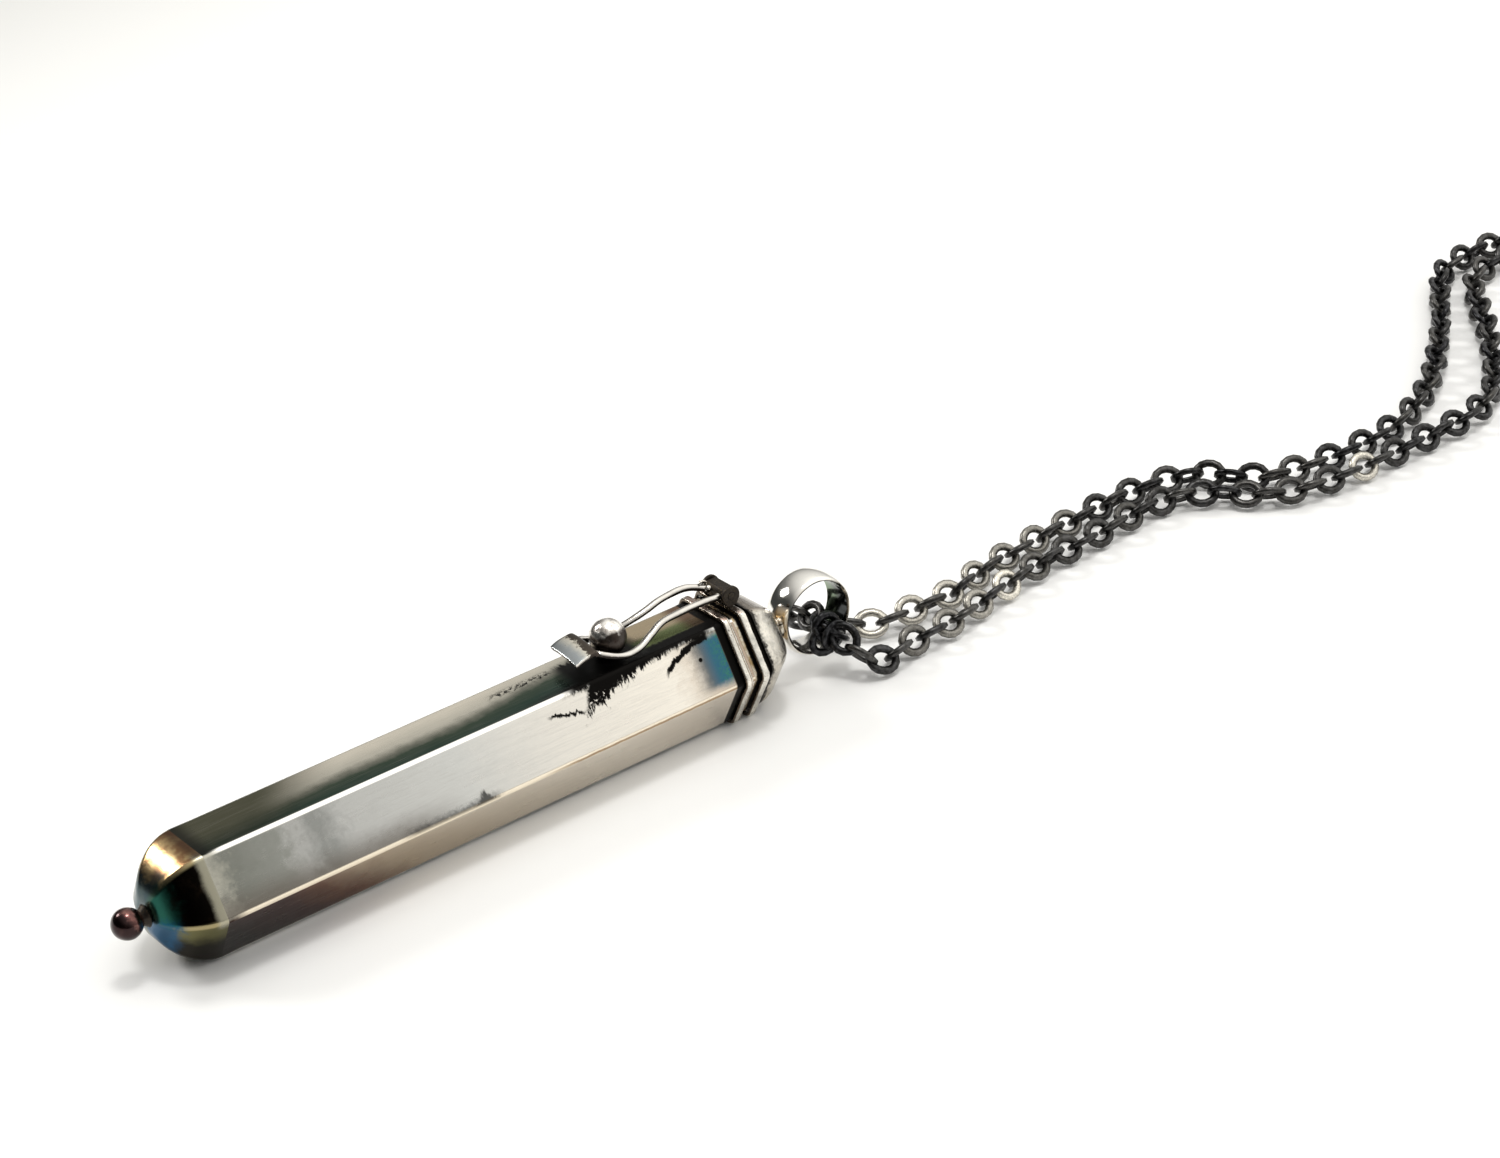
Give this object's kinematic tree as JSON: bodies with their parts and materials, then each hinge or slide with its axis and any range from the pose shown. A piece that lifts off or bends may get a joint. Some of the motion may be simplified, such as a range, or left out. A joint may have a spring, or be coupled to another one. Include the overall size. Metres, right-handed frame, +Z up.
{
  "type": "vessel pendant",
  "caption": "Hexagonal oxidised silver tube pendant with a domed pull-off cap, a wire loop latch over a ball knob, a wide bail and a dark cable chain.",
  "frame": {"origin": "centre of the pendant's box, without its chain, on the surface that it lies on", "axes": "+X along the pendant's axis from the tip to the bail, +Z up out of the facet that carries the latch, +Y across"},
  "size_m": [0.2364, 0.0298, 0.0137],
  "materials": {
    "silver_tube": "brushed sterling silver with heat and liver-of-sulphur patina",
    "heat_tinted": "torch-tinted silver, gold to blue-green",
    "copper_bead": "dark red-brown fused bead",
    "silver_ring": "polished half-round silver with pitted oxide",
    "dark_silver": "blackened silver",
    "silver_knob": "hammered, polished silver ball",
    "silver_dome": "polished silver with dark grooves",
    "bail_silver": "mirror polished silver",
    "hinge_silver": "brown-black oxidised silver, filed flat on top",
    "wire_silver": "polished silver wire with dark undersides",
    "chain_gunmetal": "oxidised gunmetal links, some rubbed bright",
    "clasp_gunmetal": "oxidised gunmetal",
    "tie_cord": "dark waxed cotton"
  },
  "bodies": {
    "vessel": {"vessel_tube": "silver_tube", "end_dome": "heat_tinted", "tip_post": "heat_tinted", "tip_bead": "copper_bead", "mouth_ring": "silver_ring", "knob_post": "dark_silver", "latch_knob": "silver_knob"},
    "cap": {"cap_liner": "silver_ring", "cap_collar": "dark_silver", "cap_ring": "silver_ring", "cap_dome": "silver_dome", "bail_seat": "heat_tinted", "bail_ring": "bail_silver", "hinge_ear_front": "dark_silver", "hinge_ear_back": "dark_silver", "hinge_pin": "dark_silver", "chain_strand_back": "chain_gunmetal", "chain_strand_front": "chain_gunmetal", "chain_hank": "chain_gunmetal", "hank_tie": "tie_cord", "clasp_body": "clasp_gunmetal", "clasp_rivet": "clasp_gunmetal", "clasp_ring": "clasp_gunmetal", "end_ring": "clasp_gunmetal"},
    "latch": {"hinge_barrel": "hinge_silver", "latch_loop": "wire_silver", "thumb_tab": "wire_silver"},
    "trigger": {"clasp_trigger": "clasp_gunmetal"}
  },
  "joints": [
    {"name": "cap_slide", "type": "slide", "parent": "vessel", "child": "cap", "axis": [1, 0, 0], "range_m": [0, 0.008]},
    {"name": "latch_hinge", "type": "hinge", "parent": "cap", "child": "latch", "pos_m": [0.02477, 0, 0.0118], "axis": [0, 1, 0], "range_deg": [0, 115]},
    {"name": "trigger_hinge", "type": "hinge", "parent": "cap", "child": "trigger", "pos_m": [0.1501, -0.00385, 0.001], "axis": [0, 0, -1], "range_deg": [0, 20]}
  ],
  "couplings": [
    {"joint": "latch_hinge", "follows": "cap_slide", "rad_per_m": 250}
  ]
}
